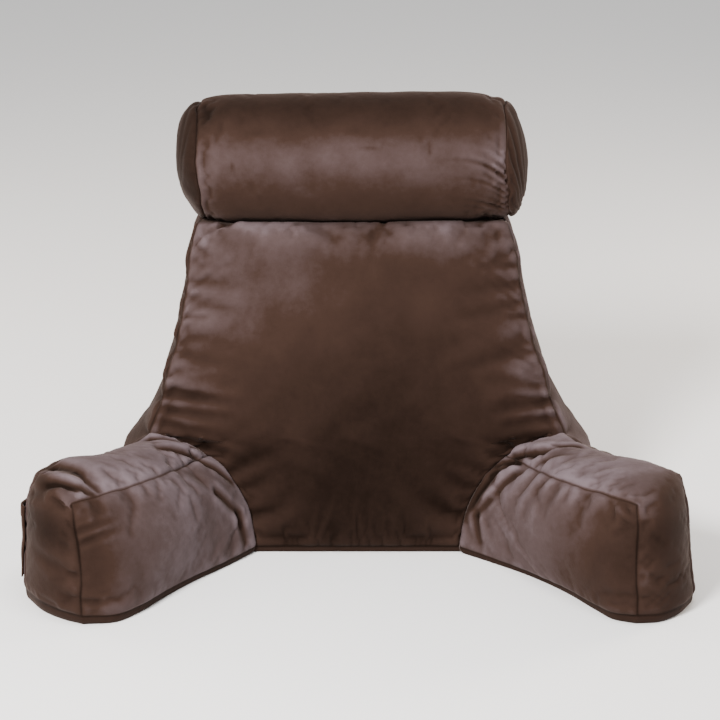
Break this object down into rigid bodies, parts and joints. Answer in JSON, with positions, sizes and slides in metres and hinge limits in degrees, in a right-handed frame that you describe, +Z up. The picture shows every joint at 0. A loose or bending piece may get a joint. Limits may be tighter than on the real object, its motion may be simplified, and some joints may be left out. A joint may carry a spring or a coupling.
{
  "type": "reading pillow",
  "caption": "Reading pillow for sitting up in bed: a leaning back cushion with splayed arm cushions, a neck roll across its top and a side pocket, in brown velvet.",
  "frame": {"origin": "centre of the back cushion's flat underside, on the surface that the pillow stands on", "axes": "+X to the right of someone facing the pillow, +Y away from them towards its rear, +Z up"},
  "size_m": [0.7621, 0.4371, 0.5315],
  "materials": {
    "velvet": "short-pile velvet, matt with a soft pale sheen at grazing angles"
  },
  "bodies": {
    "root": {"back": "velvet", "arm_left": "velvet", "arm_right": "velvet", "neck_roll": "velvet", "pocket": "velvet"}
  },
  "joints": []
}
